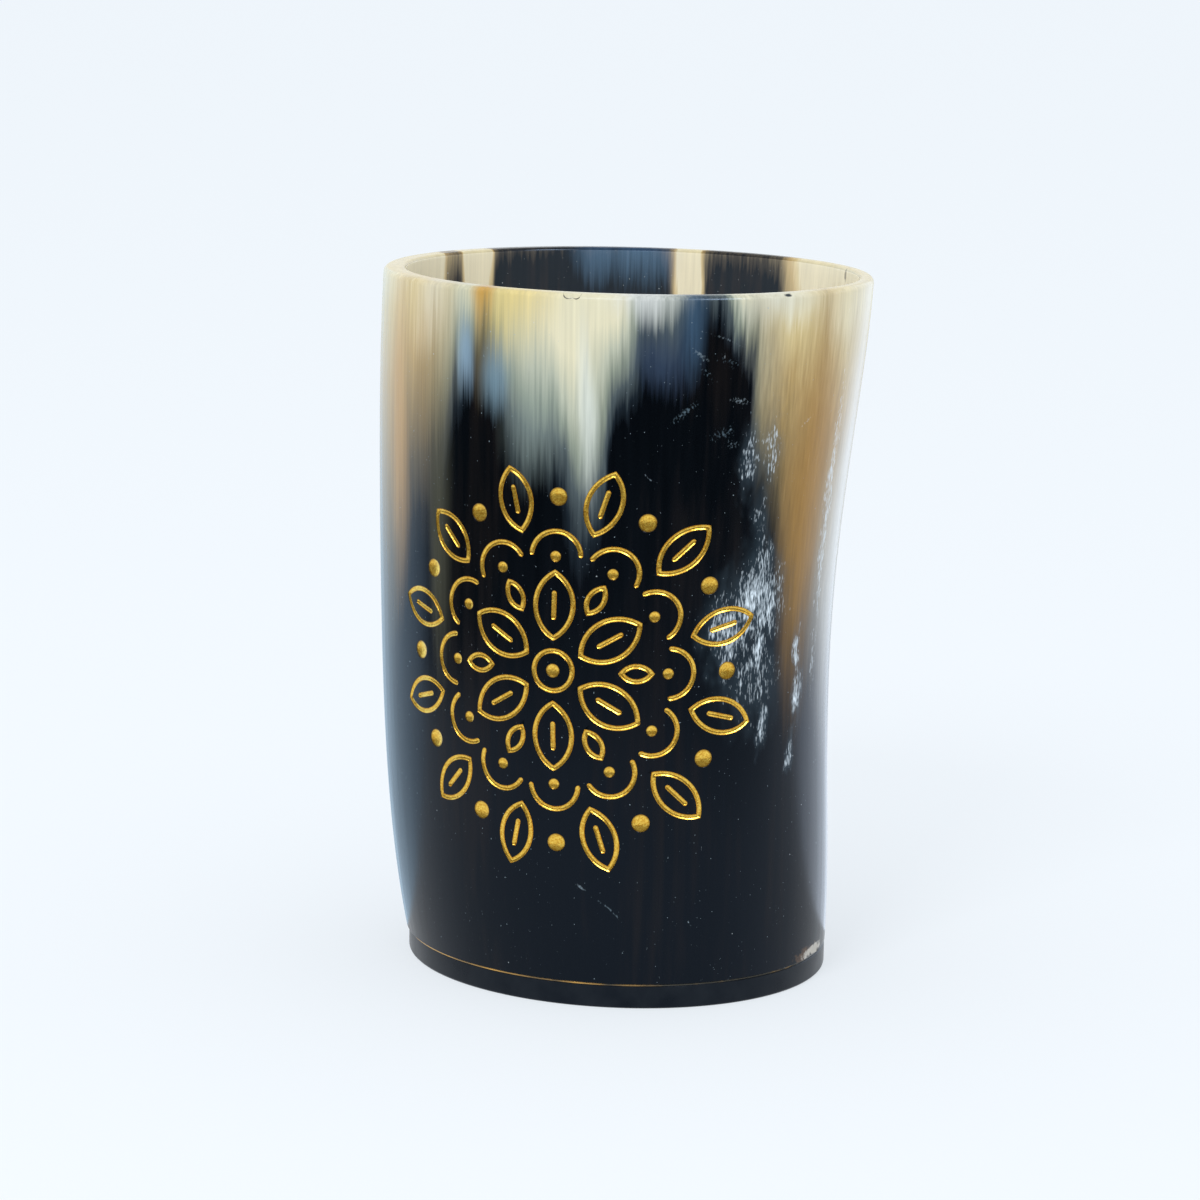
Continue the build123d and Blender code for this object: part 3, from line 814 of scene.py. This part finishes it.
# %% Amber glue
# Width of a patch of dust, the width over which the glue turns from clear to grey, and how patchy it is
DUST_PATCH, CLEAR_TO_GREY, PATCHINESS = 7.0, 90.0, 2.0
amber_glue = material("amber_resin_glue")
tree = amber_glue.node_tree
spot = add(tree, "ShaderNodeTexCoord").outputs["Object"]
noise = add(tree, "ShaderNodeTexNoise", {"Vector": spot, "Scale": 1 / (DUST_PATCH * MM), "Detail": 3.0})
patchy = add(tree, MATH, {0: noise.outputs[0], 1: PATCHINESS, 2: 0.5 - 0.5 * PATCHINESS},
             operation="MULTIPLY_ADD")
across = add(tree, SEPARATE_XYZ, {0: spot})
leftward = add(tree, MATH, {0: across, 1: -1 / (CLEAR_TO_GREY * MM), 2: patchy}, operation="MULTIPLY_ADD")
tones = add(tree, "ShaderNodeValToRGB", {"Fac": leftward})
set_stops(tones, ((0.35, "#38352c"), (0.95, "#deaa50")))
finish = add(tree, "ShaderNodeBsdfPrincipled", {"Base Color": tones, "Roughness": 0.35})
add(tree, "ShaderNodeOutputMaterial", {"Surface": finish})
print(amber_glue.name, len(tree.nodes), "nodes")

# %% [markdown]
# ## Gold in the lines
# The grooves are filled with gold powder in a binder, laid in with a brush. It dries as a hollow,
# slightly grainy skin that glints on one flank, so the grain here is a quarter of a millimetre wide and
# tilts the light as well as tinting it. Its edges are darkened to brown with painted shade, where the
# groove's flanks would be in shadow, and each line's own attribute says where its edge is.

# %% Gold
GOLD_GRAIN, GOLD_RELIEF = 0.25, 0.06
gold = material("gold_powder_filling")
tree = gold.node_tree
spot = add(tree, "ShaderNodeTexCoord").outputs["Object"]
noise = add(tree, "ShaderNodeTexNoise", {"Vector": spot, "Scale": 1 / (GOLD_GRAIN * MM), "Detail": 2.0})
tones = add(tree, "ShaderNodeValToRGB", {"Fac": noise.outputs[0]})
set_stops(tones, ((0.3, "#cf9622"), (0.65, "#f8d05a")))
# In shares of the line's half width: where the painted shade at the line's edges begins and where it is
# fullest; and how brown it makes the gold there
EDGE_SHADE_FROM, EDGE_SHADE_FULL, EDGE_SHADE_BROWN = 0.76, 0.97, 0.85
edge = add(tree, "ShaderNodeAttribute", attribute_name="edge").outputs["Fac"]
gold_edge_shade = add(tree, MAP_RANGE, {"Value": edge, "From Min": EDGE_SHADE_FROM, "From Max": EDGE_SHADE_FULL,
                             "To Max": EDGE_SHADE_BROWN})
colour = tinted(tones, gold_edge_shade, "#6b4612", "painted shade at the gold's edges")
bumps = add(tree, "ShaderNodeBump", {
    "Height": noise.outputs[0], "Strength": 0.35, "Distance": GOLD_RELIEF * MM})
finish = add(tree, "ShaderNodeBsdfPrincipled", {
    "Base Color": colour, "Metallic": 0.75, "Roughness": 0.26, "Normal": bumps})
add(tree, "ShaderNodeOutputMaterial", {"Surface": finish})
print(gold.name, len(tree.nodes), "nodes")

# %% [markdown]
# ## The wall
# The wall is one closed skin: up the outer face, over the rounded rim, down the bore and round the
# seat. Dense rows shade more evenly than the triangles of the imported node, which matters on a
# polished surface.

# %% The plain wall
OUTER_ROWS, BORE_ROWS, ROUND_ROWS = 110, 60, 8
ovals = []
for i in range(OUTER_ROWS):
    height = FOOT_HEIGHT + (RIM_HEIGHT - RIM_ROUND_OUTER - FOOT_HEIGHT) * i / OUTER_ROWS
    ovals.append(oval_at(outer_reach(height), height))
for i in range(ROUND_ROWS + 1):
    turn = pi / 2 * i / ROUND_ROWS
    height = RIM_HEIGHT - RIM_ROUND_OUTER * (1 - sin(turn))
    ovals.append(oval_at(outer_reach(height), height, RIM_ROUND_OUTER * (1 - cos(turn))))
for i in range(ROUND_ROWS + 1):
    turn = pi / 2 * (1 - i / ROUND_ROWS)
    height = RIM_HEIGHT - RIM_ROUND_INNER * (1 - sin(turn))
    ovals.append(oval_at(bore_reach(height), height, -RIM_ROUND_INNER * (1 - cos(turn))))
for i in range(1, BORE_ROWS + 1):
    height = RIM_HEIGHT - RIM_ROUND_INNER + (FLOOR_HEIGHT - RIM_HEIGHT + RIM_ROUND_INNER) * i / BORE_ROWS
    ovals.append(oval_at(bore_reach(height), height))
foot = outer_reach(FOOT_HEIGHT)
ovals += [oval_at(foot, FLOOR_HEIGHT, SEAT_WALL), oval_at(foot, FOOT_HEIGHT, SEAT_WALL), ovals[0]]
plain_wall = skin("plain_wall", ovals, horn)
outer_face = skin("outer_face", ovals[:OUTER_ROWS + ROUND_ROWS + 1], horn)

# %% [markdown]
# ## Chips and grooves
# Horn flakes where it is knocked: the rim has lost a shallow shell and a small nick, and the foot a chip
# beside the seam. Each is a squashed ball that bites into the wall. The grooves and the chips are cut with
# Boolean modifiers, and the even shading of the uncut outer face is then handed back to what is left of it.

# %% Balls that bite chips
# Bearing from the front round the oval's middle, height, half width, half height and depth in millimetres
CHIPS = ((-13.0, 100.0, 1.35, 0.95, 0.4), (36.7, 100.0, 0.6, 0.45, 0.4), (64.0, 4.2, 3.7, 1.0, 0.3))
bm = bmesh.new()
for at, up, half_width, half_height, depth in CHIPS:
    bearing = radians(at) - pi / 2
    outward = Matrix.Rotation(bearing, 4, "Z")
    place = Matrix.Translation(oval_point(up, bearing) * MM) @ outward
    size = Matrix.Diagonal((depth * MM, half_width * MM, half_height * MM, 1))
    bmesh.ops.create_icosphere(bm, subdivisions=4, radius=1.0, matrix=place @ size)
chip_mesh = bpy.data.meshes.new("chip_cutter")
bm.to_mesh(chip_mesh)
chip_mesh.materials.append(horn)
bm.free()
chip_cutter = put("chip_cutter", chip_mesh)
print("chips:", len(CHIPS))

# %% Cut the wall
SAME_FACE = 0.02 * MM
gold_nodes = list(dict.fromkeys([*lines, *dots]))
groove_cutter = engraved("groove_cutter", gold_nodes, groove_section, groove_dish, horn)
wall = put("horn_cup_wall", plain_wall.data)
for cutter in (groove_cutter, chip_cutter):
    cut = wall.modifiers.new(cutter.name, "BOOLEAN")
    cut.operation, cut.solver, cut.object = "DIFFERENCE", "MANIFOLD", cutter
shading = wall.modifiers.new("Even shading", "DATA_TRANSFER")
shading.object, shading.use_loop_data, shading.data_types_loops = outer_face, True, {"CUSTOM_NORMAL"}
shading.loop_mapping, shading.use_max_distance, shading.max_distance = "POLYINTERP_NEAREST", True, SAME_FACE
mesh = bpy.data.meshes.new_from_object(wall.evaluated_get(bpy.context.evaluated_depsgraph_get()))
wall.modifiers.clear()
wall.data = mesh
print("engraved wall:", len(mesh.polygons), "faces")

# %% [markdown]
# ## Base and glue
# The base is a flat oval with a spigot that stands up inside the wall. Its lower edge is rounded from
# sanding and its upper edge is just broken. The glue is a thin ring that fills the seam and the gap round
# the spigot: it swells on the left, under the overhanging wall, and is set back where it was wiped.

# %% Base
BASE_SET_IN_LEFT, BASE_SET_IN_RIGHT, BROKEN_EDGE = 0.4, 0.05, 0.12
LOWER_ROUND = ((0.0, 0.4), (0.06, 0.2), (0.2, 0.06), (0.4, 0.0))
base_reach = foot[0] - BASE_SET_IN_LEFT, foot[1] - BASE_SET_IN_RIGHT
spigot_inset = SEAT_WALL + GLUE_GAP
base = skin("glued_horn_base", [
    Vector((0, 0, 0)), *(oval_at(base_reach, height, inset) for height, inset in LOWER_ROUND),
    oval_at(base_reach, BASE_THICKNESS - BROKEN_EDGE), oval_at(base_reach, BASE_THICKNESS, BROKEN_EDGE),
    oval_at(foot, BASE_THICKNESS, spigot_inset), oval_at(foot, FLOOR_HEIGHT, spigot_inset),
    Vector((0, 0, FLOOR_HEIGHT))], base_horn)

# %% Glue
SEAM_BULGE_LEFT, SEAM_SET_IN_RIGHT, SEAM_ROUND = 0.2, 0.08, 0.08
seam_reach = base_reach[0] + SEAM_BULGE_LEFT, base_reach[1] - SEAM_SET_IN_RIGHT
glue_ovals = [
    oval_at(seam_reach, BASE_THICKNESS, SEAM_ROUND),
    oval_at(seam_reach, (BASE_THICKNESS + FOOT_HEIGHT) / 2),
    oval_at(seam_reach, FOOT_HEIGHT, SEAM_ROUND), oval_at(foot, FOOT_HEIGHT, SEAT_WALL),
    oval_at(foot, FLOOR_HEIGHT, SEAT_WALL), oval_at(foot, FLOOR_HEIGHT, spigot_inset),
    oval_at(foot, BASE_THICKNESS, spigot_inset)]
glue = skin("glue_seam", glue_ovals + glue_ovals[:1], amber_glue)

# %% Put every piece on the cup
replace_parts(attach(wall, "root"), "horn_wall")
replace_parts(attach(base, "root"), "horn_base")
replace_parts(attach(glue, "root"), "base_glue")
for node in gold_nodes:
    filling = engraved(node + "_filling", [node], gold_section, gold_dish, gold)
    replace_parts(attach(filling, "root"), node)
for helper in (plain_wall, outer_face, groove_cutter, chip_cutter,
               groove_section, groove_dish, gold_section, gold_dish):
    bpy.data.objects.remove(helper)

# %% [markdown]
# ## Floor, light and camera
# The cup stands on white paper in a bright, even room, so most of the light is the world's, and the paper
# glows a little by itself, which keeps its shadows pale. A soft lamp in front on the left gives the short
# shadow on the right. Polished black shows whatever stands round it: the room in front of the cup was dark,
# and there was a window behind it on the right. A dark flag and two cards do that here. They are rings on
# the floor with a standing edge, and only reflections see them. A second lamp, high on the right, only makes
# the gold glint.

# %% Floor
FLOOR_REACH = 15.0
paper = material("pale_studio_paper")
finish = add(paper.node_tree, "ShaderNodeBsdfPrincipled", {
    "Base Color": linear("#94979a"), "Roughness": 0.9, "Specular IOR Level": 0.0,
    "Emission Color": linear("#eff5fb"), "Emission Strength": 0.67})
add(paper.node_tree, "ShaderNodeOutputMaterial", {"Surface": finish})
floor_mesh = bpy.data.meshes.new("studio_floor")
corners = [(x * FLOOR_REACH, y * FLOOR_REACH, 0) for x, y in ((-1, -1), (1, -1), (1, 1), (-1, 1))]
floor_mesh.from_pydata(corners, [], [(0, 1, 2, 3)])
floor_mesh.materials.append(paper)
floor = put("studio_floor", floor_mesh)
print("floor:", 2 * FLOOR_REACH, "m wide")

# %% Flag and cards
# Bearings from the front in degrees, inner and outer radius and height in metres, colour and strength of
# its light
SURROUNDS = (("dark_flag", -105, 80, 0.2, 0.75, 0.5, "#050607", 1.0),
             ("bright_card", 103, 158, 0.033, 0.6, 0.4, "#e6f1ff", 2.0),
             ("blue_card", -165, -102, 0.033, 0.6, 0.4, "#c9e4fa", 1.6))
ABOVE_FLOOR, ARC_STEPS = 0.001, 12
for name, first, last, near, far, tall, tone, strength in SURROUNDS:
    glow = material(name + "_cloth")
    light = add(glow.node_tree, "ShaderNodeEmission", {"Color": linear(tone), "Strength": strength})
    add(glow.node_tree, "ShaderNodeOutputMaterial", {"Surface": light})
    points = []
    for i in range(ARC_STEPS + 1):
        bearing = radians(first + (last - first) * i / ARC_STEPS)
        points += [(distance * sin(bearing), -distance * cos(bearing), z)
                   for distance, z in ((near, ABOVE_FLOOR), (far, ABOVE_FLOOR), (far, tall))]
    starts = [3 * i + row for i in range(ARC_STEPS) for row in (0, 1)]
    faces = [(corner, corner + 1, corner + 4, corner + 3) for corner in starts]
    mesh = bpy.data.meshes.new(name)
    mesh.from_pydata(points, [], faces)
    mesh.materials.append(glow)
    surround = put(name, mesh)
    surround.visible_camera = surround.visible_diffuse = False
    surround.visible_shadow = surround.visible_transmission = False
    print(name, len(faces), "faces")

# %% Light
world = bpy.data.worlds.new("bright_room")
world.use_nodes = True
world.node_tree.nodes["Background"].inputs["Color"].default_value = linear("#fafdff")
world.node_tree.nodes["Background"].inputs["Strength"].default_value = 1.0
bpy.context.scene.world = world
LAMP_TARGET = Vector((0, 0, 0.05))
# Name, place, size, power, and whether it lights everything or only shows in reflections
LAMPS = (("key", (-0.35, -0.8, 0.75), 0.35, 3.6, True), ("glint", (0.45, -0.5, 0.8), 0.3, 7.0, False))
for name, place, size, power, lights_all in LAMPS:
    lamp = bpy.data.lights.new(name, "AREA")
    lamp.size, lamp.energy = size, power
    light = put(name, lamp)
    light.visible_diffuse = lights_all
    light.location = place
    light.rotation_euler = (LAMP_TARGET - Vector(place)).to_track_quat("-Z", "Y").to_euler()
print("lamps:", [name for name, *_ in LAMPS])

# %% Camera
TARGET, DISTANCE, ELEVATION, ROLL = Vector((-3.10, 0, 52.13)) * MM, 557.4 * MM, radians(10.656), radians(0.8)
lens = bpy.data.cameras.new("photo_camera")
lens.lens, lens.sensor_width, lens.clip_start = 115.83, 36.0, 0.01
camera = put("photo_camera", lens)
aim = Vector((0, -cos(ELEVATION), sin(ELEVATION)))
camera.matrix_world = (Matrix.Translation(TARGET + aim * DISTANCE)
                       @ (-aim).to_track_quat("-Z", "Y").to_matrix().to_4x4() @ Matrix.Rotation(ROLL, 4, "Z"))
bpy.context.scene.camera = camera
bpy.context.scene.view_settings.view_transform = "Standard"
print("camera at", [round(c, 3) for c in camera.matrix_world.translation])
